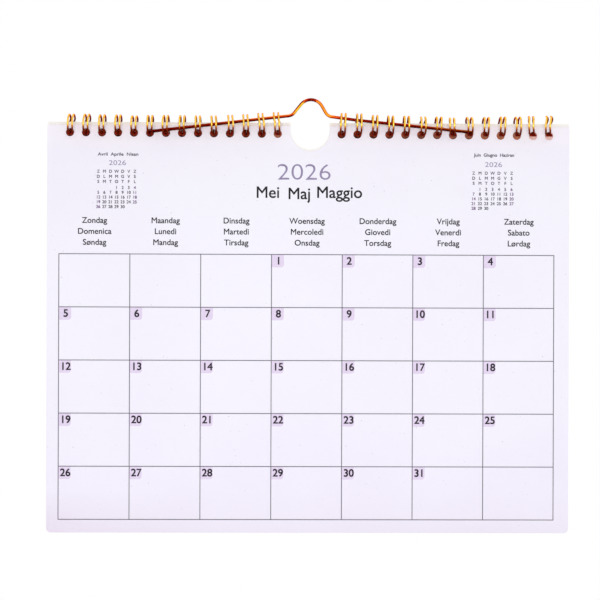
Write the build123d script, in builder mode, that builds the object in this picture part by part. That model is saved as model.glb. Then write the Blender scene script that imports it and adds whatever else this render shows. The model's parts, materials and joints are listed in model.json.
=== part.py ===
from build123d import *
import math
import os

# Wall calendar bound along its top edge with twin-loop wire.
# Millimetres, +Z up. The printed face looks along -Y and the wall is on the +Y side.
# The origin is where the nail touches the underside of the hanger's crown.

# Twin-loop binding wire, round in truth, with few sides and chords to keep its facets low
wire_diameter = 0.9
wire_sides = 5
ring_diameter = 10.4
ring_chords = 10
loop_pitch = 8.467
skipped_loops = 3
strand_spacing = 2.3
tip_spacing = 1.2
tip_chords = 1
spine_angle = 2.0
spine_corner = 1.0
tip_angle = 337.0

# Hanger wire, round in truth
hanger_diameter = 1.5
hanger_sides = 6
hanger_reach = 85.6
hanger_offset = 1.2
hanger_clearance = 0.12
crown_height = 13.4
crown_radius = 6.7
hump_slope = 52.0
foot_radius = 4.5

# Leaves and back cover. The leaves' holes are round in truth, the cover's are small oblong slots
leaf_width = 277.0
leaf_height = 216.0
leaf_thickness = 0.15
leaf_count = 8
cover_thickness = 0.72
cover_gap = 0.05
cover_lift = 1.1
corner_radius = 2.3
punch_margin = 4.1
end_margin = 9.0
punch_offset = 0.6
hole_play = 1.25
hole_sides = 10
slot_play = 0.5
seat_gap = 0.06
stack_back_share = 0.97
notch_width = 20.8
notch_depth = 13.4

# Print on the front leaf
ink_thickness = 0.05
grid_columns = 7
grid_rows = 5
grid_left_margin = 6.2
grid_right_margin = 8.0
grid_head_margin = 68.3
grid_foot_margin = 7.0
line_width = 0.4
tint_width = 6.4
tint_height = 6.6
tint_corner = 1.6
first_day_place = 3
day_count = 31

# Places that follow from the sizes above
ring_axis_z = hanger_diameter / 2 - crown_height
strand_start = spine_angle + math.degrees(2 * spine_corner / ring_diameter)
chord_angle = (tip_angle - strand_start) / ring_chords
vertex_radius = ring_diameter / (1 + math.cos(math.radians(chord_angle / 2)))
clear_radius = vertex_radius * math.cos(math.radians(chord_angle / 2)) - wire_diameter / 2
seat_radius = clear_radius - seat_gap
cover_back_y = seat_radius * stack_back_share
cover_front_y = cover_back_y - cover_thickness
leaf_back_y = cover_front_y - cover_gap
leaf_front_y = leaf_back_y - leaf_count * leaf_thickness
outer_radius = vertex_radius + wire_diameter / 2 + seat_gap
slot_width = tip_spacing + wire_diameter + slot_play
slot_top_z = ring_axis_z - math.sqrt(seat_radius**2 - cover_back_y**2)
slot_foot_z = ring_axis_z - math.sqrt(outer_radius**2 - cover_front_y**2)
hole_diameter = strand_spacing + wire_diameter + hole_play
leaf_hole_z = slot_top_z - hole_diameter / 2 - cover_lift
run_start = (skipped_loops + 1) / 2 * loop_pitch
loops_per_run = 1 + int((leaf_width / 2 - end_margin - run_start) / loop_pitch)
run_centre = run_start + (loops_per_run - 1) / 2 * loop_pitch
leaf_centre_x = -punch_offset
leaf_top_z = leaf_hole_z + punch_margin
cover_top_z = leaf_top_z + cover_lift
leaf_foot_z = leaf_top_z - leaf_height
leaf_left_x = leaf_centre_x - leaf_width / 2
grid_left_x = leaf_left_x + grid_left_margin
grid_foot_z = leaf_foot_z + grid_foot_margin
grid_width = leaf_width - grid_left_margin - grid_right_margin
grid_height = leaf_height - grid_head_margin - grid_foot_margin
column_pitch = grid_width / grid_columns
row_pitch = grid_height / grid_rows


def face_plane(y):
    """A plane facing the reader, at a depth of y, with its own x and y along X and Z."""
    return Plane(origin=(0, y, 0), x_dir=(1, 0, 0), z_dir=(0, -1, 0))


# Binding wire

def ring_point(x, degrees):
    """A point on the ring, where zero degrees is the wall side and ninety is the crown."""
    angle = math.radians(degrees)
    return (x, vertex_radius * math.cos(angle), ring_axis_z + vertex_radius * math.sin(angle))


def loop_route():
    """Half a loop: spine, corner, one strand round the ring and half of the narrow hairpin tip."""
    side = -strand_spacing / 2
    tip_side = -tip_spacing / 2
    tip_turn = math.radians(60)
    tip_end = tip_angle + math.degrees(tip_spacing / 2 / vertex_radius) * math.sin(tip_turn)
    route = [ring_point(-loop_pitch / 2, spine_angle)]
    route.append(ring_point(side - spine_corner, spine_angle))
    for step in range(ring_chords + 1):
        strand_x = side if step < ring_chords - tip_chords else tip_side
        route.append(ring_point(strand_x, strand_start + step * chord_angle))
    route.append(ring_point(tip_side * math.cos(tip_turn), tip_end))
    route.append(ring_point(0, tip_end))
    return route


route = loop_route()
with BuildPart() as loop:
    with BuildLine() as loop_path:
        Polyline(*route)
    with BuildSketch(Plane(origin=route[0], x_dir=(0, 1, 0), z_dir=(1, 0, 0))):
        RegularPolygon(wire_diameter / 2, wire_sides)
    sweep(path=loop_path.line, transition=Transition.RIGHT)
    mirror(about=Plane.YZ)


def binding_run(centre_x):
    """One wire bent into a row of twin loops, with its cut ends left at the spine."""
    steps = [step - (loops_per_run - 1) / 2 for step in range(loops_per_run)]
    with BuildPart() as run:
        with Locations(*[(centre_x + step * loop_pitch, 0, 0) for step in steps]):
            add(loop.part)
    return run


binding_wire_left = binding_run(-run_centre)
binding_wire_left.part.label = "binding_wire_left"
binding_wire_right = binding_run(run_centre)
binding_wire_right.part.label = "binding_wire_right"


# Hanger wire

arm_radius = clear_radius - hanger_clearance - hanger_diameter / 2
arm_rise = math.sqrt(arm_radius**2 - hanger_offset**2)
arm_slope = 2 * arm_rise / (hanger_reach - run_start)
arm_centre_z = ring_axis_z + arm_rise + arm_slope * run_start
hump_tangent = math.tan(math.radians(hump_slope))
apex_z = ring_axis_z + crown_height + crown_radius * (1 / math.cos(math.radians(hump_slope)) - 1)
foot_x = (apex_z - arm_centre_z) / (hump_tangent - arm_slope)
foot_z = arm_centre_z - arm_slope * foot_x
arm_end = (hanger_reach, ring_axis_z - arm_rise)
foot = (foot_x, foot_z)

with BuildPart() as hanger_wire:
    with BuildLine(face_plane(-hanger_offset)) as hanger_path:
        FilletPolyline(
            (-arm_end[0], arm_end[1]),
            (-foot[0], foot[1]),
            (0, apex_z),
            foot,
            arm_end,
            radius=[foot_radius, crown_radius, foot_radius],
        )
    with BuildSketch(Plane(origin=hanger_path.line @ 0, z_dir=hanger_path.line % 0)):
        RegularPolygon(hanger_diameter / 2, hanger_sides)
    sweep(path=hanger_path.line)
hanger_wire.part.label = "hanger_wire"


# Leaves and back cover

with BuildSketch() as hole:
    RegularPolygon(hole_diameter / 2, hole_sides, rotation=90 + 180 / hole_sides)

with BuildSketch() as slot:
    Rectangle(slot_width, slot_top_z - slot_foot_z)


def punched_sheet(front_y, back_y, top_z, punch, punch_z):
    """A sheet, or a block of sheets, with a row of punched openings and its thumb notch."""
    notch_radius = notch_width / 2
    with BuildPart() as sheet:
        with BuildSketch(face_plane(back_y)) as outline:
            with Locations((leaf_centre_x, top_z - leaf_height / 2)):
                Rectangle(leaf_width, leaf_height)
            fillet(outline.vertices().group_by(Axis.Z)[0], radius=corner_radius)
            with Locations((0, top_z - notch_depth + notch_radius)):
                Circle(notch_radius, mode=Mode.SUBTRACT)
                Rectangle(notch_width, notch_depth, align=(Align.CENTER, Align.MIN), mode=Mode.SUBTRACT)
            with Locations((-run_centre, punch_z), (run_centre, punch_z)):
                with GridLocations(loop_pitch, 0, loops_per_run, 1):
                    add(punch, mode=Mode.SUBTRACT)
        extrude(amount=back_y - front_y)
    return sheet


page_block = punched_sheet(leaf_front_y, leaf_back_y, leaf_top_z, hole.sketch, leaf_hole_z)
page_block.part.label = "page_block"
slot_z = (slot_top_z + slot_foot_z) / 2
back_cover = punched_sheet(cover_front_y, cover_back_y, cover_top_z, slot.sketch, slot_z)
back_cover.part.label = "back_cover"


# Print on the front leaf

def cell_corner(number):
    """The top left corner of the grid cell that holds a day's number."""
    row, column = divmod(first_day_place + number - 1, grid_columns)
    return (grid_left_x + column * column_pitch, grid_foot_z + grid_height - row * row_pitch)


with BuildPart() as printed_grid:
    with BuildSketch(face_plane(leaf_front_y)):
        with Locations((grid_left_x + grid_width / 2, grid_foot_z + grid_height / 2)):
            Rectangle(grid_width + line_width, grid_height + line_width)
            with GridLocations(column_pitch, row_pitch, grid_columns, grid_rows):
                Rectangle(column_pitch - line_width, row_pitch - line_width, mode=Mode.SUBTRACT)
    extrude(amount=ink_thickness)
printed_grid.part.label = "printed_grid"

with BuildSketch() as tint:
    Rectangle(tint_width, tint_height, align=(Align.MIN, Align.MAX))
    chamfer(tint.vertices().sort_by(Axis.X)[-2:].sort_by(Axis.Y)[0], length=tint_corner)

with BuildPart() as date_tints:
    with BuildSketch(face_plane(leaf_front_y)):
        for number in range(1, day_count + 1):
            corner_x, corner_z = cell_corner(number)
            with Locations((corner_x + line_width / 2, corner_z - line_width / 2)):
                add(tint.sketch)
    extrude(amount=ink_thickness)
date_tints.part.label = "date_tints"


# Written files

os.makedirs("parts", exist_ok=True)
wires = [binding_wire_left, binding_wire_right, hanger_wire]
sheets = [page_block, back_cover, printed_grid, date_tints]
for piece in wires + sheets:
    export_step(piece.part, f"parts/{piece.part.label}.step")
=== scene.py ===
import json
import math
import random

import bpy
from mathutils import Matrix, Vector

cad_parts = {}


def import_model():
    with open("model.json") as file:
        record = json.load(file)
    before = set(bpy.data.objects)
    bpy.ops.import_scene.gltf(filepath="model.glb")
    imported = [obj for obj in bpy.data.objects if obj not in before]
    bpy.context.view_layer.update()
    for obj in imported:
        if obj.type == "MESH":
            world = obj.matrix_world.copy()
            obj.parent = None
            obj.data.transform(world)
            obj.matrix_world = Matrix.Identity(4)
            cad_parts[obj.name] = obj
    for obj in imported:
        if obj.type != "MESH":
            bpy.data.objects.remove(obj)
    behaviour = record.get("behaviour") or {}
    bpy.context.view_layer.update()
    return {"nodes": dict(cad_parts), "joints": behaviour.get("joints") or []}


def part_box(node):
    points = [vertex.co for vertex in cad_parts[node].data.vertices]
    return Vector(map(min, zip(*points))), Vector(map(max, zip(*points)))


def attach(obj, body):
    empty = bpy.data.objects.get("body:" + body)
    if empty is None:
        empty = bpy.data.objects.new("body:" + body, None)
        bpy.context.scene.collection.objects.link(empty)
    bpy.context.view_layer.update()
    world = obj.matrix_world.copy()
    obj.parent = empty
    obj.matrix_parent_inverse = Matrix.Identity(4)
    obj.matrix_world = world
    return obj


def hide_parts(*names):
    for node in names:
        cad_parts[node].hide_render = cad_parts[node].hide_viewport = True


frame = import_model()

MM = 0.001

# Places read from the frame
PAGE_LOW, PAGE_HIGH = (Vector(corner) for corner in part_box("page_block"))
COVER_LOW, COVER_HIGH = (Vector(corner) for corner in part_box("back_cover"))
HANGER_LOW, HANGER_HIGH = (Vector(corner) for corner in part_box("hanger_wire"))
RING_AXIS = Vector(next(j["pos_m"] for j in frame["joints"] if j["name"] == "rings_swing"))

# Binding wire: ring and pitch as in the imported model, the wire and the narrowing of its tips as photographed
WIRE_RADIUS = 0.48 * MM
RING_RADIUS = 5.2 * MM
LOOP_PITCH = 8.467 * MM
LOOPS_PER_RUN = 14
FIRST_PLACE = 2
RUN_START = FIRST_PLACE * LOOP_PITCH
STRAND_SPACING = 2.3 * MM
SPINE_ANGLE = 2.0
SPINE_CORNER = 1.0 * MM
TIP_ANGLE = 337.0
TIP_SPACING = 0.97 * MM
TAPER_START, TAPER_END = 250.0, 292.0
LOOP_SPREAD = 0.08 * MM
WIRE_SIDES = 12
STRAND_STEPS = 44
BEND_STEPS = 6

# Hanger wire: reach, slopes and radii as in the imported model, its thickness as photographed
HANGER_RADIUS = 0.83 * MM
HANGER_Y = (HANGER_LOW.y + HANGER_HIGH.y) / 2
CROWN_RADIUS = 6.7 * MM
HUMP_SLOPE = math.radians(52.0)
FOOT_RADIUS = 4.5 * MM
ARM_RISE = 3.595 * MM
HANGER_SIDES = 16
HANGER_BEND_STEPS = 24

# How far the photographed hanger departs from a true one, across and up
LEFT_FOOT_SHIFT = (0.65 * MM, 0.4 * MM)
APEX_SHIFT = (1.2 * MM, 0.75 * MM)
RIGHT_FOOT_SHIFT = (-1.2 * MM, 0.1 * MM)
LEFT_END_DROP = 0.65 * MM
RIGHT_END_DROP = 0.2 * MM
ARM_BEND_X = 24 * MM
ARM_BEND_DROP = 0.45 * MM
ARM_BEND_RADIUS = 80 * MM

# Leaves and back cover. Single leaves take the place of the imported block
LEAF_COUNT = 8
LEAF_PITCH = (PAGE_HIGH.y - PAGE_LOW.y) / LEAF_COUNT
LEAF_THICKNESS = 0.12 * MM
LEAF_SLIP = 0.22 * MM
CORNER_RADIUS = 2.3 * MM
CORNER_STEPS = 10
COVER_LIFT = 0.7 * MM
HOLE_RADIUS = 2.2 * MM
HOLE_STEPS = 32
SLOT_HALF_WIDTH = 0.99 * MM
SLOT_CORNER = 0.5 * MM
SLOT_CORNER_STEPS = 5
SLOT_TOP = COVER_HIGH.z - 2.4 * MM
SLOT_FOOT = COVER_HIGH.z - 5.05 * MM
PUNCH_MARGIN = 4.1 * MM
HOLE_Z = PAGE_HIGH.z - PUNCH_MARGIN
PUNCH_SHIFT = -0.28 * MM
PUNCH_DROP = 0.19 * MM
PUNCH_SKEW = 0.0034
DRIFT = 0.41 * MM
DRIFT_START = 100 * MM
DRIFT_LENGTH = 25 * MM
NOTCH_RADIUS = 10.4 * MM
NOTCH_DEPTH = 13.4 * MM
NOTCH_STEPS = 40

# Painted shade on the card behind the holes, where the look through them is dark: half its width as a share of
# the pitch, and how far it goes past the holes
DARK_SHARE = 0.34
DARK_SHARE_EDGE = 0.02
DARK_BELOW = 0.9 * MM
DARK_ABOVE = 0.5 * MM
DARK_EDGE = 0.2 * MM
BARE_WALL_SIDE = 0.02 * MM
DARK_FROM_WALL_SIDE = 0.05 * MM

# The painted shade's deeper foot, from nothing to full at these places below the holes' row and across
SHADE_DROPS = (0.9 * MM, 1.9 * MM)
SHADE_ACROSS = (95 * MM, 40 * MM)
SHADE_SHARE = 0.75

# The painted shade's paler tone to the right and in the last hole of the left run, and the bare foot of the
# last holes, where a pale pink takes its place
PALE_ACROSS = (30 * MM, 130 * MM)
PALE_SHARE = 0.7
LAST_LEFT_REACH = 3.0 * MM
LAST_LEFT_SHARE = 0.5
BARE_LOOPS = 2
BARE_FROM = RUN_START + (LOOPS_PER_RUN - BARE_LOOPS - 0.5) * LOOP_PITCH
BARE_DROPS = (0.6 * MM, 0.8 * MM)
SOFT_EDGE = 0.1 * MM

# Print on the front leaf
INK_THICKNESS = 0.05 * MM
WORD_THICKNESS = 0.02 * MM
GRID_COLUMNS = 7
GRID_ROWS = 5
GRID_LEFT = PAGE_LOW.x + 6.2 * MM
GRID_RIGHT = PAGE_HIGH.x - 8.0 * MM
GRID_TOP = PAGE_HIGH.z - 68.3 * MM
GRID_FOOT = PAGE_LOW.z + 7.0 * MM
COLUMN_PITCH = (GRID_RIGHT - GRID_LEFT) / GRID_COLUMNS
ROW_PITCH = (GRID_TOP - GRID_FOOT) / GRID_ROWS
FIRST_DAY_PLACE = 3
DAY_COUNT = 31
YEAR = "2026"
CAP_SHARE = 0.69

# Tint behind each day number, inset from its cell's top left corner
TINT_INSET = 0.2 * MM
TINT_WIDTH = 6.4 * MM
TINT_HEIGHT = 6.6 * MM
TINT_CORNER = 1.6 * MM
TINT_CORNER_STEPS = 8

# Lettering: heights of capitals, weights as shares of them, and places
DAY_CAP = 3.85 * MM
DAY_WEIGHT = 0.045
DAY_ACROSS = 3.75 * MM
DAY_DROP = 5.2 * MM
WEEKDAY_CAP = 3.0 * MM
WEEKDAY_WEIGHT = 0.03
WEEKDAY_RISE = 16.4 * MM
WEEKDAY_PITCH = 5.8 * MM
HEADING_CENTRE = GRID_LEFT + GRID_COLUMNS / 2 * COLUMN_PITCH - 1.6 * MM
YEAR_CAP = 8.5 * MM
YEAR_WEIGHT = -0.018
YEAR_WIDTH = 28.4 * MM
YEAR_DROP = 28.6 * MM
MONTH_CAP = 6.0 * MM
MONTH_WEIGHT = 0.02

# Small months, measured down from their top and across from their middle
SMALL_CAP = 1.55 * MM
SMALL_WEIGHT = 0.05
SMALL_TITLE_CAP = 1.6 * MM
SMALL_TITLE_WIDTH = 21.4 * MM
SMALL_TITLE_SHIFT = 0.8 * MM
SMALL_YEAR_CAP = 2.5 * MM
SMALL_YEAR_WIDTH = 9.0 * MM
SMALL_YEAR_SHIFT = 0.45 * MM
SMALL_YEAR_DROP = 5.5 * MM
INITIALS_DROP = 9.6 * MM
INITIALS_PITCH = 2.7 * MM
SMALL_DAYS_DROP = 18.2 * MM
SMALL_DAYS_PITCH = 2.53 * MM
SMALL_DAY_COUNT = 30

# Photograph
PIXELS = 600
PIXEL = 0.5308 * MM
VIEW_DISTANCE = 715 * MM
VIEW_DROP = 92.4 * MM
VIEW_SHIFT = -5.1 * MM
VIEW_ROLL = math.radians(0.2)
VIEW_YAW = math.radians(0.7)
SENSOR = 36.0

WHITE = (1.0, 1.0, 1.0, 1.0)
BLACK = (0.0, 0.0, 0.0, 1.0)
AMBIENT = 0.56

random.seed(7)


# Small helpers

def linear(r, g, b):
    """A colour given as it looks on screen, 0 to 255, as linear values for a shader."""
    channels = (value / 255 for value in (r, g, b))
    return tuple(c / 12.92 if c <= 0.04045 else ((c + 0.055) / 1.055) ** 2.4 for c in channels) + (1.0,)


def eased(share):
    """A share from 0 to 1 that starts and ends gently."""
    share = min(max(share, 0.0), 1.0)
    return share * share * (3 - 2 * share)


def arc_points(centre, radius, start, end, steps):
    """Points on an arc, from one angle in degrees to another."""
    angles = [math.radians(start + (end - start) * step / steps) for step in range(steps + 1)]
    return [(centre[0] + radius * math.cos(a), centre[1] + radius * math.sin(a)) for a in angles]


def new_object(name, mesh, material):
    """A mesh as an object in the scene, with one material."""
    mesh.materials.append(material)
    piece = bpy.data.objects.new(name, mesh)
    bpy.context.collection.objects.link(piece)
    return piece


def join_meshes(name, parts):
    """One mesh out of (mesh, matrix) pairs."""
    vertices, faces = [], []
    for mesh, matrix in parts:
        base = len(vertices)
        vertices += [tuple(matrix @ vertex.co) for vertex in mesh.vertices]
        faces += [[base + index for index in polygon.vertices] for polygon in mesh.polygons]
    joined = bpy.data.meshes.new(name)
    joined.from_pydata(vertices, [], faces)
    joined.update()
    return joined


# Materials

class Shader:
    """A node material with a Principled shader, and short calls to wire its nodes."""

    def __init__(self, name, roughness, metallic=0.0):
        self.material = bpy.data.materials.new(name)
        self.material.use_nodes = True
        self.tree = self.material.node_tree
        self.principled = self.tree.nodes["Principled BSDF"]
        self.principled.inputs["Roughness"].default_value = roughness
        self.principled.inputs["Metallic"].default_value = metallic
        self.coordinates = self.tree.nodes.new("ShaderNodeTexCoord").outputs["Object"]

    def add(self, kind, **settings):
        """A new node with its settings."""
        node = self.tree.nodes.new(kind)
        for key, value in settings.items():
            setattr(node, key, value)
        return node

    def link(self, output, socket):
        """A link from an output to a socket."""
        self.tree.links.new(output, socket)

    def noise(self, scale, detail=3.0, roughness=0.5):
        """Noise in the object's own space, its scale in waves a metre."""
        node = self.add("ShaderNodeTexNoise")
        node.inputs["Scale"].default_value = scale
        node.inputs["Detail"].default_value = detail
        node.inputs["Roughness"].default_value = roughness
        self.link(self.coordinates, node.inputs["Vector"])
        return node.outputs["Fac"]

    def coordinate(self, name):
        """One coordinate in the object's own space, in metres."""
        split = self.add("ShaderNodeSeparateXYZ")
        self.link(self.coordinates, split.inputs["Vector"])
        return split.outputs[name]

    def span(self, value, low, high):
        """A value, mapped from low..high to 0..1."""
        node = self.add("ShaderNodeMapRange")
        node.inputs["From Min"].default_value = low
        node.inputs["From Max"].default_value = high
        self.link(value, node.inputs["Value"])
        return node.outputs["Result"]

    def axis(self, name, low, high):
        """One coordinate, mapped from low..high to 0..1."""
        return self.span(self.coordinate(name), low, high)

    def math(self, operation, first, second=0.0):
        """A sum of a link and a number or another link."""
        node = self.add("ShaderNodeMath", operation=operation)
        self.link(first, node.inputs[0])
        if isinstance(second, (int, float)):
            node.inputs[1].default_value = second
        else:
            self.link(second, node.inputs[1])
        return node.outputs["Value"]

    def ramp(self, factor, *stops):
        """A colour from a ramp of (place, colour) stops."""
        node = self.add("ShaderNodeValToRGB")
        elements = node.color_ramp.elements
        while len(elements) < len(stops):
            elements.new(1.0)
        for element, (place, colour) in zip(elements, stops):
            element.position = place
            element.color = colour
        self.link(factor, node.inputs["Fac"])
        return node.outputs["Color"]

    def mix(self, factor, first, second):
        """A blend of two colours, each a link or a plain colour, by a link or a number."""
        node = self.add("ShaderNodeMix", data_type="RGBA")
        for socket, value in ((0, factor), (6, first), (7, second)):
            if isinstance(value, (int, float, tuple)):
                node.inputs[socket].default_value = value
            else:
                self.link(value, node.inputs[socket])
        return node.outputs[2]

    def times(self, first, *others):
        """A product of a link and numbers or other links."""
        for other in others:
            first = self.math("MULTIPLY", first, other)
        return first

    def bump(self, height, distance, strength):
        """Relief from a height of 0 to 1 over a distance in metres."""
        node = self.add("ShaderNodeBump")
        node.inputs["Distance"].default_value = distance
        node.inputs["Strength"].default_value = strength
        self.link(height, node.inputs["Height"])
        self.link(node.outputs["Normal"], self.principled.inputs["Normal"])

    def colour(self, value):
        """Sets the base colour and gives the finished material."""
        self.link(value, self.principled.inputs["Base Color"])
        return self.material


def paper_material():
    """Smooth coated paper, faintly lavender, with painted shade a little deeper towards the foot and in its
    left foot corner, a band of painted light along the top edge against the shadow of the wire loops, fibre
    and rare specks.
    """
    shader = Shader("leaf_paper", roughness=0.55)
    shader.principled.inputs["Specular IOR Level"].default_value = 0.25
    height = shader.axis("Z", PAGE_LOW.z, PAGE_HIGH.z)
    # Painted shade deepens the tone towards the foot, and painted light lifts the band along the top edge.
    tone = shader.ramp(
        height,
        (0.0, linear(236, 228, 244)),
        (0.03, linear(239, 232, 247)),
        (0.1, linear(243, 237, 252)),
        (0.27, linear(246, 242, 254)),
        (0.7, linear(247, 244, 255)),
        (0.82, linear(245, 243, 252)),
        (0.94, linear(245, 242, 253)),
        (0.965, linear(249, 245, 254)),
        (1.0, linear(250, 245, 254)),
    )
    # Painted shade, darker and pinker, in the left corner of the foot.
    shade_width, shade_height = 90 * MM, 22 * MM
    left_foot = shader.times(
        shader.axis("X", PAGE_LOW.x + shade_width, PAGE_LOW.x),
        shader.axis("Z", PAGE_LOW.z + shade_height, PAGE_LOW.z),
    )
    tone = shader.mix(left_foot, tone, linear(230, 216, 236))
    cloud = shader.ramp(shader.noise(14.0, 4.0), (0.38, linear(241, 236, 251)), (0.62, linear(247, 245, 255)))
    tone = shader.mix(0.3, tone, cloud)
    fleck = shader.ramp(shader.noise(900.0, 2.0), (0.745, BLACK), (0.765, WHITE))
    tone = shader.mix(fleck, tone, linear(196, 188, 204))
    shader.bump(shader.noise(2600.0, 4.0, 0.65), 0.02 * MM, 0.35)
    return shader.colour(tone)


def behind_holes(shader):
    """One where painted shade goes on the card seen through the leaves' holes, and zero elsewhere."""
    across = shader.math("ABSOLUTE", shader.math("DIVIDE", shader.coordinate("X"), LOOP_PITCH))
    from_place = shader.math("PINGPONG", across, 0.5)
    start, soft = FIRST_PLACE - 0.5, 0.1
    end = start + LOOPS_PER_RUN
    foot, top = HOLE_Z - HOLE_RADIUS - DARK_BELOW, HOLE_Z + HOLE_RADIUS + DARK_ABOVE
    return shader.times(
        shader.span(from_place, DARK_SHARE, DARK_SHARE - DARK_SHARE_EDGE),
        shader.span(across, start, start + soft),
        shader.span(across, end, end - soft),
        shader.axis("Z", foot, foot + DARK_EDGE),
        shader.axis("Z", top, top - DARK_EDGE),
        shader.axis("Y", COVER_HIGH.y - BARE_WALL_SIDE, COVER_HIGH.y - DARK_FROM_WALL_SIDE),
    )


def dark_tone(shader):
    """Painted shade for the card behind the holes: deep copper, darker low on the left and paler to the right.
    """
    pale = linear(226, 156, 122)
    tone = shader.ramp(shader.noise(900.0, 3.0), (0.38, linear(60, 14, 6)), (0.62, linear(172, 66, 30)))
    below = shader.axis("Z", HOLE_Z - SHADE_DROPS[0], HOLE_Z - SHADE_DROPS[1])
    shaded_foot = shader.times(below, shader.axis("X", *SHADE_ACROSS), SHADE_SHARE)
    tone = shader.mix(shaded_foot, tone, linear(34, 6, 6))
    tone = shader.mix(shader.times(shader.axis("X", *PALE_ACROSS), PALE_SHARE), tone, pale)
    from_last_left = shader.math("ABSOLUTE", shader.math("ADD", shader.coordinate("X"), RUN_START))
    last_left = shader.span(from_last_left, LAST_LEFT_REACH, LAST_LEFT_REACH - SOFT_EDGE)
    tone = shader.mix(shader.times(last_left, LAST_LEFT_SHARE), tone, pale)
    bare_foot = shader.times(
        shader.axis("X", BARE_FROM, BARE_FROM + SOFT_EDGE),
        shader.axis("Z", HOLE_Z - BARE_DROPS[0], HOLE_Z - BARE_DROPS[1]),
    )
    return shader.mix(bare_foot, tone, linear(250, 214, 204))


def card_material():
    """Uncoated cream card for the back cover, with painted shade behind the leaves' holes as the photograph
    shows.
    """
    shader = Shader("cover_card", roughness=0.8)
    shader.principled.inputs["Specular IOR Level"].default_value = 0.2
    grain = shader.noise(420.0, 6.0, 0.7)
    tone = shader.ramp(grain, (0.35, linear(255, 249, 242)), (0.65, linear(255, 254, 250)))
    fibres = shader.noise(1500.0, 5.0, 0.7)
    fibre_share = shader.ramp(fibres, (0.6, BLACK), (0.8, (0.4, 0.4, 0.4, 1.0)))
    tone = shader.mix(fibre_share, tone, linear(242, 231, 217))
    # Painted shade: the card behind the holes takes a dark copper tone.
    tone = shader.mix(behind_holes(shader), tone, dark_tone(shader))
    shader.bump(fibres, 0.05 * MM, 0.5)
    return shader.colour(tone)


def ink_material(name, dark, light):
    """Printed ink, with the slight mottle of an offset print."""
    shader = Shader(name, roughness=0.6)
    shader.principled.inputs["Specular IOR Level"].default_value = 0.25
    mottle = shader.ramp(shader.noise(1800.0, 3.0), (0.35, dark), (0.7, light))
    shader.bump(shader.noise(2600.0, 3.0), 0.01 * MM, 0.3)
    return shader.colour(mottle)


def wire_material(name, edge, worn_share, stops):
    """Copper-gold lacquered wire, worn in streaks, with light and shade painted into its colour. The mesh's
    tone attribute is its place among the stops, which run from painted shade to painted highlight.
    """
    shader = Shader(name, roughness=0.3, metallic=0.95)
    shader.principled.inputs["Specular Tint"].default_value = edge
    # Painted light: each vertex's tone attribute picks a lit or a shaded colour from the stops.
    place = shader.add("ShaderNodeAttribute", attribute_name="tone").outputs["Fac"]
    tone = shader.ramp(place, *stops)
    streaks = shader.noise(700.0, 4.0, 0.6)
    worn = shader.times(shader.span(streaks, 0.4, 0.75), worn_share)
    tone = shader.mix(worn, tone, linear(176, 96, 40))
    shader.bump(shader.noise(3500.0, 3.0), 0.01 * MM, 0.25)
    return shader.colour(tone)


# Tubes for the wires

def bend(centre, start, end, steps):
    """Points on the quarter turn from start to end about a centre, without the first."""
    first, last = start - centre, end - centre
    points = []
    for step in range(1, steps + 1):
        angle = math.pi / 2 * step / steps
        points.append(centre + first * math.cos(angle) + last * math.sin(angle))
    return points


def tube(name, points, radius, sides, shading_tones):
    """A closed round tube along points, each with one tone of painted light and shade, or with one each for
    its upper and lower side where a painted highlight or painted shade falls.
    """
    vertices, faces, values = [], [], []
    normal = None
    for index, point in enumerate(points):
        before = points[max(index - 1, 0)]
        after = points[min(index + 1, len(points) - 1)]
        tangent = (after - before).normalized()
        if normal is None:
            normal = tangent.orthogonal().normalized()
        normal = (normal - tangent * normal.dot(tangent)).normalized()
        binormal = tangent.cross(normal)
        for side in range(sides):
            angle = 2 * math.pi * side / sides
            offset = normal * math.cos(angle) + binormal * math.sin(angle)
            vertices.append(point + offset * radius)
            # Painted light: the upper and the lower side of the tube blend between their own lit or shaded
            # tones.
            if isinstance(shading_tones[index], tuple):
                upper, lower = shading_tones[index]
                values.append(lower + (upper - lower) * eased(0.5 + offset.z))
            else:
                values.append(shading_tones[index])
    for index in range(len(points) - 1):
        for side in range(sides):
            a = index * sides + side
            b = index * sides + (side + 1) % sides
            faces.append((a, b, b + sides, a + sides))
    last = (len(points) - 1) * sides
    faces.append(tuple(range(sides - 1, -1, -1)))
    faces.append(tuple(last + side for side in range(sides)))
    mesh = bpy.data.meshes.new(name)
    mesh.from_pydata([tuple(v) for v in vertices], [], faces)
    mesh.update()
    attribute = mesh.attributes.new("tone", "FLOAT", "POINT")
    attribute.data.foreach_set("value", values)
    mesh.shade_smooth()
    return mesh


# Binding wire

def ring_point(x, degrees):
    """A point on the ring, where zero degrees is the wall side and ninety is the crown."""
    angle = math.radians(degrees)
    y, z = RING_RADIUS * math.cos(angle), RING_RADIUS * math.sin(angle)
    return Vector((x, RING_AXIS.y + y, RING_AXIS.z + z))


def sideways(degrees, lean):
    """How far a loop leans at this angle, from its leans at the front, the crown and the back."""
    front, crown, back = lean
    places = (0.0, 45.0, 110.0, 190.0, 230.0, 275.0)
    leans = (0.0, back, crown, front, 0.8 * front, 0.0)
    for start, end, first, last in zip(places, places[1:], leans, leans[1:]):
        if degrees <= end:
            return first + (last - first) * eased((degrees - start) / (end - start))
    return 0.0


def taper_share(degrees):
    """How far a loop has narrowed towards its hairpin tip."""
    return eased((degrees - TAPER_START) / (TAPER_END - TAPER_START))


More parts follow.
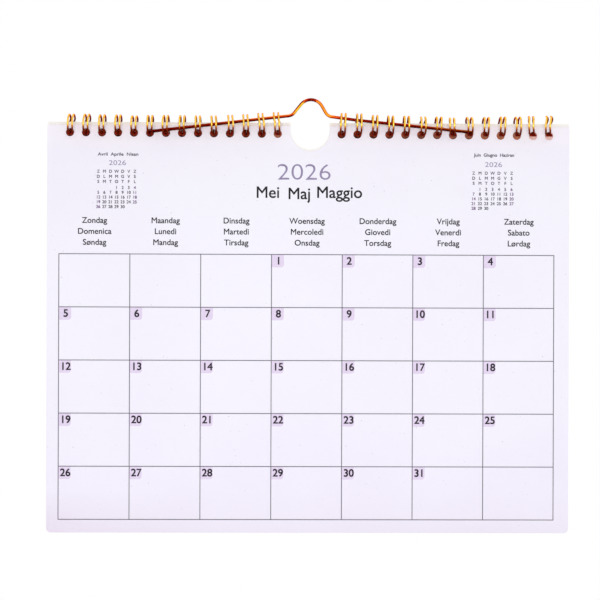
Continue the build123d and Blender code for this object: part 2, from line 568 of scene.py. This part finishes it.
def strand(centre, side, lean, spread, crown):
    """Points up the back, over the crown and down through the hole, from spine to tip, and their tones of
    painted light and shade.
    """
    start = SPINE_ANGLE + math.degrees(SPINE_CORNER / RING_RADIUS)
    points, shading_tones = [], []
    for step in range(STRAND_STEPS + 1):
        degrees = start + (TIP_ANGLE - start) * step / STRAND_STEPS
        spacing = STRAND_SPACING + (TIP_SPACING - STRAND_SPACING) * taper_share(degrees)
        shift = sideways(degrees, lean) * MM
        shift += side * (spacing / 2 + spread * math.sin(math.radians(min(degrees, 180.0))))
        point = ring_point(centre + shift, degrees)
        point.z += crown * max(math.sin(math.radians(degrees)), 0.0) ** 2
        points.append(point)
        # The angle round the ring picks the painted light and shade of this point.
        shading_tones.append(degrees / 360)
    return points, shading_tones


def loop_points(centre, lean, spread, crown):
    """One twin loop, with its tones of painted light and shade: corner, strand, hairpin tip, strand, corner.
    """
    half_width = STRAND_SPACING / 2 + SPINE_CORNER
    down, down_tones = strand(centre, -1, lean, spread, crown)
    up, up_tones = strand(centre, 1, lean, spread, crown)
    spine_left = ring_point(centre - half_width, SPINE_ANGLE)
    spine_right = ring_point(centre + half_width, SPINE_ANGLE)
    hub_left = Vector((spine_left.x, down[0].y, down[0].z))
    hub_right = Vector((spine_right.x, up[0].y, up[0].z))
    points = [spine_left]
    points += bend(hub_left, spine_left, down[0], BEND_STEPS)
    points += down[1:]
    tip = math.degrees(TIP_SPACING / 2 / RING_RADIUS)
    for step in range(1, 2 * BEND_STEPS):
        angle = math.pi * step / (2 * BEND_STEPS)
        x = centre - TIP_SPACING / 2 * math.cos(angle)
        points.append(ring_point(x, TIP_ANGLE + tip * math.sin(angle)))
    tip_tones = [TIP_ANGLE / 360] * (2 * BEND_STEPS - 1)
    points += up[::-1]
    points += bend(hub_right, up[0], spine_right, BEND_STEPS)
    shading_tones = [0.0] * (BEND_STEPS + 1) + down_tones[1:] + tip_tones + up_tones[::-1] + [0.0] * BEND_STEPS
    return points, shading_tones


def binding_run(name, side, leans, crowns):
    """One wire bent into a row of twin loops, each with its own lean and crown height."""
    centres = sorted(side * (RUN_START + place * LOOP_PITCH) for place in range(LOOPS_PER_RUN))
    points = [ring_point(centres[0] - LOOP_PITCH / 2, SPINE_ANGLE)]
    shading_tones = [0.0]
    for centre, lean, crown in zip(centres, leans, crowns):
        spread = random.uniform(-LOOP_SPREAD, LOOP_SPREAD)
        loop, loop_shading_tones = loop_points(centre, lean, spread, crown * MM)
        points += loop
        shading_tones += loop_shading_tones
    points.append(ring_point(centres[-1] + LOOP_PITCH / 2, SPINE_ANGLE))
    shading_tones.append(0.0)
    piece = new_object(name, tube(name, points, WIRE_RADIUS, WIRE_SIDES, shading_tones), BINDING)
    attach(piece, "binding")
    return piece


# Painted light along each ring by its angle, from the wall side at 0: painted shade in dark copper at the back
# and low by the holes, a painted highlight in bright gold on the upper front.
BINDING = wire_material(
    "binding_wire",
    linear(206, 116, 56),
    0.3,
    (
        (0.0, linear(104, 18, 10)),
        (0.13, linear(128, 34, 14)),
        (0.21, linear(168, 66, 30)),
        (0.28, linear(204, 120, 52)),
        (0.36, linear(240, 176, 76)),
        (0.44, linear(255, 210, 88)),
        (0.53, linear(255, 208, 80)),
        (0.555, linear(232, 148, 44)),
        (0.578, linear(154, 64, 20)),
        (0.605, linear(108, 28, 10)),
        (0.68, linear(98, 24, 10)),
        (0.76, linear(176, 62, 26)),
    ),
)
# Millimetres that each loop leans at its front, its crown and its back
LEFT_LEANS = (
    (0.9, 1.1, 1.1),
    (0.5, 0.8, 0.8),
    (0.3, 0.4, 0.4),
    (0.3, 0.4, 0.4),
    (0.2, 0.4, 0.4),
    (0.2, 0.2, 0.2),
    (-0.3, 0.0, 0.0),
    (0.1, 0.2, 0.2),
    (0.1, -0.1, -0.1),
    (0.1, -0.3, -0.3),
    (0.6, 0.0, 0.0),
    (0.0, -0.5, -0.5),
    (-0.1, -1.0, -1.0),
    (-0.6, -1.25, -1.25),
)
RIGHT_LEANS = (
    (0.2, 0.7, 0.7),
    (0.4, 0.5, 0.5),
    (0.2, 0.4, 0.4),
    (0.2, 0.15, 0.15),
    (0.0, 0.1, 0.1),
    (0.35, 0.35, 1.0),
    (0.1, 0.3, 0.2),
    (-1.6, -1.4, -0.8),
    (-0.35, -0.6, -0.5),
    (-0.4, 0.0, 0.0),
    (-0.2, 0.3, 0.3),
    (-0.3, -0.2, -0.2),
    (-2.3, -1.8, -0.9),
    (-2.0, -0.9, 0.9),
)
# Millimetres that each crown stands above or below the true ring
LEFT_CROWNS = (-0.5, -0.5, -0.8, -0.8, -1.3, -1.0, -0.9, -1.0, -1.1, -1.1, -0.7, -0.3, 0.4, 0.9)
RIGHT_CROWNS = (0.6, 0.4, -0.4, -0.6, -0.7, -1.1, -1.1, -1.6, -1.2, -1.2, -0.9, -0.9, -0.5, -0.3)
left_run = binding_run("twin_loops_left", -1, LEFT_LEANS, LEFT_CROWNS)
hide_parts("binding_wire_left")
right_run = binding_run("twin_loops_right", 1, RIGHT_LEANS, RIGHT_CROWNS)
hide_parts("binding_wire_right")


# Hanger wire

def rounded_path(corners, radii, steps):
    """A path in the hanger's plane: straight runs joined by tangent arcs."""
    points = [corners[0]]
    for before, corner, after, radius in zip(corners, corners[1:], corners[2:], radii):
        back = (before - corner).normalized()
        ahead = (after - corner).normalized()
        half = back.angle(ahead) / 2
        reach = radius / math.tan(half)
        centre = corner + (back + ahead).normalized() * (radius / math.sin(half))
        start, end = corner + back * reach, corner + ahead * reach
        sweep = (start - centre).angle(end - centre)
        for step in range(steps + 1):
            share = step / steps
            first, last = start - centre, end - centre
            points.append(
                centre
                + first * (math.sin((1 - share) * sweep) / math.sin(sweep))
                + last * (math.sin(share * sweep) / math.sin(sweep))
            )
    points.append(corners[-1])
    return points


def hanger_points():
    """The hanger's centre line: arm, foot, crown, foot, arm with its slight bend."""
    reach = HANGER_HIGH.x
    axis_z = RING_AXIS.z
    slope = 2 * ARM_RISE / (reach - RUN_START)
    centre_z = axis_z + ARM_RISE + slope * RUN_START
    crown_z = HANGER_HIGH.z - HANGER_RADIUS
    apex_z = crown_z + CROWN_RADIUS * (1 / math.cos(HUMP_SLOPE) - 1)
    foot_x = (apex_z - centre_z) / (math.tan(HUMP_SLOPE) - slope)
    foot_z = centre_z - slope * foot_x
    corners = (
        (-reach, axis_z - ARM_RISE - LEFT_END_DROP),
        (-foot_x + LEFT_FOOT_SHIFT[0], foot_z + LEFT_FOOT_SHIFT[1]),
        (APEX_SHIFT[0], apex_z + APEX_SHIFT[1]),
        (foot_x + RIGHT_FOOT_SHIFT[0], foot_z + RIGHT_FOOT_SHIFT[1]),
        (ARM_BEND_X, centre_z - slope * ARM_BEND_X - ARM_BEND_DROP),
        (reach, axis_z - ARM_RISE - RIGHT_END_DROP),
    )
    corners = [Vector((x, HANGER_Y, z)) for x, z in corners]
    radii = (FOOT_RADIUS, CROWN_RADIUS, FOOT_RADIUS, ARM_BEND_RADIUS)
    return rounded_path(corners, radii, HANGER_BEND_STEPS)


# Millimetres across, and the painted-light tones of the upper and the lower side there, painted highlights and
# painted shade standing for light on the bent wire. Past 0 and 1 the end tones hold
HANGER_PAINTED_LIGHT = (
    (-87, 0.3, 0.15),
    (-17, 0.2, 0.0),
    (-13.5, 0.75, 0.0),
    (-10, 0.75, -0.1),
    (-8.8, 0.6, 0.8),
    (-7.5, 0.0, 1.3),
    (-4.5, -0.1, 1.4),
    (-2.8, 0.7, 0.2),
    (0.0, 0.1, -0.4),
    (2.0, 0.2, -0.2),
    (3.5, 0.55, 0.7),
    (7.0, 0.7, 0.7),
    (10.0, 0.75, 0.65),
    (12.0, 0.7, 0.3),
    (14.5, 0.4, 0.1),
    (19.0, 0.1, -0.1),
    (32.0, 0.25, 0.0),
    (48.0, 0.5, 0.0),
    (60.0, 0.75, 0.0),
    (87, 0.8, 0.0),
)


def hanger_tone(x):
    """The painted light and shade of the wire's upper and lower side at this x, from painted shade in dark
    copper at 0 to a painted highlight in bright gold at 1.
    """
    for start, end in zip(HANGER_PAINTED_LIGHT, HANGER_PAINTED_LIGHT[1:]):
        if x <= end[0] * MM:
            share = (x / MM - start[0]) / (end[0] - start[0])
            return tuple(first + (last - first) * share for first, last in zip(start[1:], end[1:]))
    return HANGER_PAINTED_LIGHT[-1][1:]


# Painted light for the hanger: its stops run from painted shade in dark copper to a painted highlight in
# bright gold.
HANGER = wire_material(
    "hanger_wire",
    linear(150, 40, 14),
    0.12,
    (
        (0.0, linear(92, 0, 0)),
        (0.3, linear(140, 10, 3)),
        (0.5, linear(184, 62, 12)),
        (0.7, linear(222, 124, 30)),
        (0.85, linear(244, 180, 48)),
        (1.0, linear(255, 220, 60)),
    ),
)
hanger_path = hanger_points()
hanger_painted_tones = [hanger_tone(point.x) for point in hanger_path]
hanger_mesh = tube("hanger_rod", hanger_path, HANGER_RADIUS, HANGER_SIDES, hanger_painted_tones)
hanger = new_object("hanger_rod", hanger_mesh, HANGER)
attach(hanger, "hanger")
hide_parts("hanger_wire")


# Leaves and back cover

def round_hole(x):
    """One hole of the leaves' row, which was punched a little askew and drifts near its right end."""
    shift = PUNCH_SHIFT + DRIFT * eased((x - DRIFT_START) / DRIFT_LENGTH)
    centre = (x + shift, HOLE_Z - PUNCH_DROP - PUNCH_SKEW * x)
    return arc_points(centre, HOLE_RADIUS, 0, 360, HOLE_STEPS)[:-1]


def oblong_slot(x):
    """A small slot with round corners, anticlockwise."""
    reach = SLOT_HALF_WIDTH - SLOT_CORNER
    corners = (
        ((x + reach, SLOT_TOP - SLOT_CORNER), 0),
        ((x - reach, SLOT_TOP - SLOT_CORNER), 90),
        ((x - reach, SLOT_FOOT + SLOT_CORNER), 180),
        ((x + reach, SLOT_FOOT + SLOT_CORNER), 270),
    )
    points = []
    for centre, start in corners:
        points += arc_points(centre, SLOT_CORNER, start, start + 90, SLOT_CORNER_STEPS)
    return points


def sheet_mesh(name, left, right, top, foot, punch, front_y, thickness, lift=0.0):
    """A punched sheet: rounded foot corners, thumb notch and a row of openings, as one closed mesh."""
    notch_z = top - NOTCH_DEPTH + NOTCH_RADIUS
    outline = [(left, top + lift), (-NOTCH_RADIUS, top + lift)]
    outline += arc_points((0, notch_z), NOTCH_RADIUS, 180, 360, NOTCH_STEPS)
    outline += [(NOTCH_RADIUS, top + lift), (right, top + lift)]
    for x, start in ((right - CORNER_RADIUS, 0), (left + CORNER_RADIUS, -90)):
        outline += arc_points((x, foot + CORNER_RADIUS), CORNER_RADIUS, start, start - 90, CORNER_STEPS)
    loops = [outline]
    for side in (-1, 1):
        for place in range(LOOPS_PER_RUN):
            loops.append(punch(side * (RUN_START + place * LOOP_PITCH)))
    curve = bpy.data.curves.new(name, "CURVE")
    curve.dimensions = "2D"
    curve.fill_mode = "BOTH"
    curve.extrude = thickness / 2
    for loop in loops:
        spline = curve.splines.new("POLY")
        spline.points.add(len(loop) - 1)
        for point, (x, z) in zip(spline.points, loop):
            point.co = (x, z, 0, 1)
        spline.use_cyclic_u = True
    carrier = bpy.data.objects.new(name, curve)
    bpy.context.collection.objects.link(carrier)
    bpy.context.view_layer.update()
    flat = bpy.data.meshes.new_from_object(carrier.evaluated_get(bpy.context.evaluated_depsgraph_get()))
    bpy.data.objects.remove(carrier)
    flat.transform(Matrix.Translation((0, front_y + thickness / 2, 0)) @ Matrix.Rotation(math.pi / 2, 4, "X"))
    return flat


PAPER = paper_material()
CARD = card_material()

for number in range(LEAF_COUNT):
    slip = 0.0 if number == 0 else LEAF_SLIP
    side_slip = random.uniform(-slip, slip)
    drop = random.uniform(0, slip)
    mesh = sheet_mesh(
        f"leaf_{number + 1}",
        PAGE_LOW.x + side_slip,
        PAGE_HIGH.x + side_slip,
        PAGE_HIGH.z - drop,
        PAGE_LOW.z + (slip - drop),
        round_hole,
        PAGE_LOW.y + number * LEAF_PITCH,
        LEAF_THICKNESS,
    )
    leaf = new_object(f"leaf_{number + 1}", mesh, PAPER)
    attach(leaf, "leaves")
    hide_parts("page_block")

cover_mesh = sheet_mesh(
    "cover_board",
    COVER_LOW.x,
    COVER_HIGH.x,
    COVER_HIGH.z,
    COVER_LOW.z,
    oblong_slot,
    COVER_LOW.y,
    COVER_HIGH.y - COVER_LOW.y,
    COVER_LIFT,
)
cover = new_object("cover_board", cover_mesh, CARD)
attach(cover, "cover")
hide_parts("back_cover")


# Print on the front leaf

TITLE_INK = ink_material("title_ink", linear(8, 8, 10), linear(24, 22, 28))
BLACK_INK = ink_material("word_ink", linear(24, 22, 28), linear(42, 40, 48))
DAY_INK = ink_material("day_ink", linear(22, 12, 26), linear(38, 26, 42))
YEAR_INK = ink_material("year_ink", linear(138, 126, 160), linear(160, 148, 182))
GRID_INK = ink_material("grid_ink", linear(80, 78, 86), linear(102, 100, 108))
TINT_INK = ink_material("tint_ink", linear(226, 211, 238), linear(235, 222, 245))
SMALL_INK = ink_material("small_ink", linear(54, 48, 62), linear(82, 74, 90))
WEEKEND_INK = ink_material("weekend_ink", linear(96, 62, 112), linear(120, 86, 136))


def embolden(mesh, weight):
    """Move the outlines of flat letters outwards, or inwards for a negative weight, and give their edges."""
    uses, outwards = {}, {}
    for polygon in mesh.polygons:
        for key in polygon.edge_keys:
            uses.setdefault(key, []).append(polygon)
    outline = [(key, polygons[0]) for key, polygons in uses.items() if len(polygons) == 1]
    for (a, b), polygon in outline:
        start, end = mesh.vertices[a].co, mesh.vertices[b].co
        normal = Vector((end.y - start.y, start.x - end.x, 0.0)).normalized()
        if normal.dot(polygon.center - start) > 0:
            normal.negate()
        for index in (a, b):
            outwards[index] = outwards.get(index, Vector()) + normal
    for index, direction in outwards.items():
        mesh.vertices[index].co += direction.normalized() * weight
    return [key for key, polygon in outline]


def letters(body, cap_height, weight=0.0, width=None):
    """A thin closed mesh of words in the XY plane, with capitals of this height and, if given, this width."""
    curve = bpy.data.curves.new(body, "FONT")
    curve.body = body
    curve.size = cap_height / CAP_SHARE
    curve.align_x = "CENTER"
    curve.resolution_u = 4
    carrier = bpy.data.objects.new(body, curve)
    bpy.context.collection.objects.link(carrier)
    bpy.context.view_layer.update()
    flat = bpy.data.meshes.new_from_object(carrier.evaluated_get(bpy.context.evaluated_depsgraph_get()))
    bpy.data.objects.remove(carrier)
    if width is not None:
        xs = [vertex.co.x for vertex in flat.vertices]
        flat.transform(Matrix.Scale(width / (max(xs) - min(xs)), 4, (1, 0, 0)))
    outline = embolden(flat, weight * cap_height)
    count = len(flat.vertices)
    front = [(v.co.x, v.co.y, WORD_THICKNESS / 2) for v in flat.vertices]
    back = [(v.co.x, v.co.y, -WORD_THICKNESS / 2) for v in flat.vertices]
    faces = [list(polygon.vertices) for polygon in flat.polygons]
    faces += [[count + index for index in reversed(polygon.vertices)] for polygon in flat.polygons]
    faces += [[a, b, count + b, count + a] for a, b in outline]
    mesh = bpy.data.meshes.new(body)
    mesh.from_pydata(front + back, [], faces)
    mesh.update()
    return mesh


def on_leaf(x, z, layer=0.0):
    """The matrix that stands flat letters on the front leaf, their baseline at z."""
    place = Matrix.Translation((x, PAGE_LOW.y - layer - WORD_THICKNESS / 2, z))
    return place @ Matrix.Rotation(math.pi / 2, 4, "X")


def printed(name, parts, material):
    """One piece of print on the leaves, out of (mesh, matrix) pairs."""
    piece = new_object(name, join_meshes(name, parts), material)
    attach(piece, "leaves")


def cell_corner(day):
    """The top left corner of the grid cell that holds a day's number."""
    row, column = divmod(FIRST_DAY_PLACE + day - 1, GRID_COLUMNS)
    return GRID_LEFT + column * COLUMN_PITCH, GRID_TOP - row * ROW_PITCH


def day_numbers():
    """The number in each day's cell, over its tint."""
    parts = []
    for day in range(1, DAY_COUNT + 1):
        x, z = cell_corner(day)
        mesh = letters(str(day), DAY_CAP, DAY_WEIGHT)
        parts.append((mesh, on_leaf(x + DAY_ACROSS, z - DAY_DROP, INK_THICKNESS)))
    printed("day_numbers", parts, DAY_INK)


def tint_outline(x, z):
    """A tint square with its top left corner at x, z and a round lower right corner."""
    left, top = x + TINT_INSET, z - TINT_INSET
    right, foot = left + TINT_WIDTH, top - TINT_HEIGHT
    corner = arc_points((right - TINT_CORNER, foot + TINT_CORNER), TINT_CORNER, 0, -90, TINT_CORNER_STEPS)
    return [(left, foot), (left, top), (right, top)] + corner


def date_tints():
    """The tint squares behind the day numbers, as one piece."""
    vertices, faces = [], []
    for day in range(1, DAY_COUNT + 1):
        outline = tint_outline(*cell_corner(day))
        base, count = len(vertices), len(outline)
        vertices += [(x, PAGE_LOW.y - INK_THICKNESS, z) for x, z in outline]
        vertices += [(x, PAGE_LOW.y, z) for x, z in outline]
        faces.append([base + index for index in range(count)][::-1])
        faces.append([base + count + index for index in range(count)])
        for index in range(count):
            after = (index + 1) % count
            faces.append([base + index, base + after, base + count + after, base + count + index])
    mesh = bpy.data.meshes.new("date_tint_squares")
    mesh.from_pydata(vertices, [], faces)
    mesh.update()
    piece = new_object("date_tint_squares", mesh, TINT_INK)
    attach(piece, "leaves")
    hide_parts("date_tints")


# Dutch, Italian and Danish day names, Sunday first
WEEKDAYS = (
    ("Zondag", "Domenica", "Søndag"),
    ("Maandag", "Lunedì", "Mandag"),
    ("Dinsdag", "Martedì", "Tirsdag"),
    ("Woensdag", "Mercoledì", "Onsdag"),
    ("Donderdag", "Giovedì", "Torsdag"),
    ("Vrijdag", "Venerdì", "Fredag"),
    ("Zaterdag", "Sabato", "Lørdag"),
)
# The month's name in Dutch, Danish and Italian, with the millimetres across and down to each word
MONTH_WORDS = (("Mei", -19.3, 38.2), ("Maj", -2.6, 38.8), ("Maggio", 18.7, 38.1))


def weekday_words():
    """Three rows of day names over the grid's columns."""
    parts = []
    for column, names in enumerate(WEEKDAYS):
        x = GRID_LEFT + (column + 0.5) * COLUMN_PITCH
        for row, name in enumerate(names):
            z = GRID_TOP + WEEKDAY_RISE - row * WEEKDAY_PITCH
            parts.append((letters(name, WEEKDAY_CAP, WEEKDAY_WEIGHT), on_leaf(x, z)))
    printed("weekday_words", parts, BLACK_INK)


def heading():
    """The year in thin lavender over the month's name in three languages."""
    year = letters(YEAR, YEAR_CAP, YEAR_WEIGHT, YEAR_WIDTH)
    year_place = on_leaf(HEADING_CENTRE, PAGE_HIGH.z - YEAR_DROP)
    printed("year_number", [(year, year_place)], YEAR_INK)
    parts = []
    for word, across, drop in MONTH_WORDS:
        mesh = letters(word, MONTH_CAP, MONTH_WEIGHT)
        parts.append((mesh, on_leaf(HEADING_CENTRE + across * MM, PAGE_HIGH.z - drop * MM)))
    printed("month_words", parts, TITLE_INK)


def small_month(name, left, top, pitch, title, title_drop, first_place):
    """A month in small: title, year, three rows of day initials and the numbers."""
    centre = left + GRID_COLUMNS // 2 * pitch
    title_mesh = letters(title, SMALL_TITLE_CAP, SMALL_WEIGHT, SMALL_TITLE_WIDTH)
    words = [(title_mesh, on_leaf(centre + SMALL_TITLE_SHIFT, top - title_drop))]
    for row in range(len(WEEKDAYS[0])):
        z = top - INITIALS_DROP - row * INITIALS_PITCH
        for column, names in enumerate(WEEKDAYS):
            mesh = letters(names[row][0], SMALL_CAP, SMALL_WEIGHT)
            words.append((mesh, on_leaf(left + column * pitch, z)))
    weekend = []
    for day in range(1, SMALL_DAY_COUNT + 1):
        row, column = divmod(first_place + day - 1, GRID_COLUMNS)
        place = on_leaf(left + column * pitch, top - SMALL_DAYS_DROP - row * SMALL_DAYS_PITCH)
        target = weekend if column in (0, GRID_COLUMNS - 1) else words
        target.append((letters(str(day), SMALL_CAP, SMALL_WEIGHT), place))
    year = letters(YEAR, SMALL_YEAR_CAP, width=SMALL_YEAR_WIDTH)
    year_place = on_leaf(centre + SMALL_YEAR_SHIFT, top - SMALL_YEAR_DROP)
    printed(f"{name}_words", words, SMALL_INK)
    printed(f"{name}_weekends", weekend, WEEKEND_INK)
    printed(f"{name}_year", [(year, year_place)], YEAR_INK)


day_numbers()
date_tints()
weekday_words()
heading()
small_month(
    "month_before",
    left=PAGE_LOW.x + 26.9 * MM,
    top=PAGE_HIGH.z - 15.7 * MM,
    pitch=3.22 * MM,
    title="Avril  Aprile  Nisan",
    title_drop=0.5 * MM,
    first_place=3,
)
small_month(
    "month_after",
    left=PAGE_LOW.x + 226.1 * MM,
    top=PAGE_HIGH.z - 15.8 * MM,
    pitch=3.37 * MM,
    title="Juin  Giugno  Haziran",
    title_drop=0.0,
    first_place=1,
)

grid = frame["nodes"]["printed_grid"]
grid.data.materials.clear()
grid.data.materials.append(GRID_INK)


# Floor, lights, world and camera

def stage():
    """A plain pale floor, well under the calendar."""
    size, drop, back = 4.0, 0.6, 0.9
    mesh = bpy.data.meshes.new("floor")
    corners = [(-size, -size), (size, -size), (size, back), (-size, back)]
    mesh.from_pydata([(x, y, PAGE_LOW.z - drop) for x, y in corners], [], [(0, 1, 2, 3)])
    shader = Shader("floor", roughness=0.9)
    pale = shader.ramp(shader.noise(3.0, 2.0), (0.3, linear(248, 248, 248)), (0.7, linear(252, 252, 252)))
    floor = new_object("floor", mesh, shader.colour(pale))


def world():
    """White for the camera and in reflections, and a dimmer white as light."""
    scene_world = bpy.data.worlds.new("studio")
    scene_world.use_nodes = True
    tree = scene_world.node_tree
    tree.nodes.clear()
    rays = tree.nodes.new("ShaderNodeLightPath").outputs
    seen = rays["Is Camera Ray"]
    for ray in ("Is Glossy Ray", "Is Transmission Ray"):
        either = tree.nodes.new("ShaderNodeMath")
        either.operation = "MAXIMUM"
        tree.links.new(seen, either.inputs[0])
        tree.links.new(rays[ray], either.inputs[1])
        seen = either.outputs[0]
    mixer = tree.nodes.new("ShaderNodeMixShader")
    tree.links.new(seen, mixer.inputs["Fac"])
    for socket, strength in ((1, AMBIENT), (2, 1.0)):
        background = tree.nodes.new("ShaderNodeBackground")
        background.inputs["Color"].default_value = WHITE
        background.inputs["Strength"].default_value = strength
        tree.links.new(background.outputs[0], mixer.inputs[socket])
    output = tree.nodes.new("ShaderNodeOutputWorld")
    tree.links.new(mixer.outputs[0], output.inputs["Surface"])
    bpy.context.scene.world = scene_world


def lamp(name, place, target, size, power):
    """A square lamp, aimed at a target, with its side in metres and its power in watts."""
    light = bpy.data.lights.new(name, "AREA")
    light.size = size
    light.energy = power
    holder = bpy.data.objects.new(name, light)
    holder.location = place
    aim = Vector(target) - Vector(place)
    holder.rotation_euler = aim.to_track_quat("-Z", "Y").to_euler()
    bpy.context.collection.objects.link(holder)


def camera():
    """The photograph's view, a little from the left and with a slight roll."""
    data = bpy.data.cameras.new("camera")
    data.sensor_width = SENSOR
    data.lens = SENSOR * VIEW_DISTANCE / (PIXELS * PIXEL)
    data.clip_start = 0.01
    holder = bpy.data.objects.new("camera", data)
    side_step = VIEW_DISTANCE * math.tan(VIEW_YAW)
    holder.location = (VIEW_SHIFT - side_step, PAGE_LOW.y - VIEW_DISTANCE, PAGE_HIGH.z - VIEW_DROP)
    upright = Matrix.Rotation(math.pi / 2, 4, "X") @ Matrix.Rotation(VIEW_ROLL, 4, "Z")
    holder.rotation_euler = (Matrix.Rotation(-VIEW_YAW, 4, "Z") @ upright).to_euler()
    bpy.context.collection.objects.link(holder)
    bpy.context.scene.camera = holder


stage()
world()
middle = ((PAGE_LOW.x + PAGE_HIGH.x) / 2, PAGE_LOW.y, (PAGE_LOW.z + PAGE_HIGH.z) / 2)
lamp("front", (-0.05, -1.3, -0.14), middle, size=0.4, power=5.3)
lamp("side", (0.9, -1.0, 0.8), middle, size=0.8, power=1.6)
lamp("back", (0.1, 1.3, 1.8), middle, size=2.0, power=30.0)
camera()
bpy.context.scene.view_settings.view_transform = "Standard"
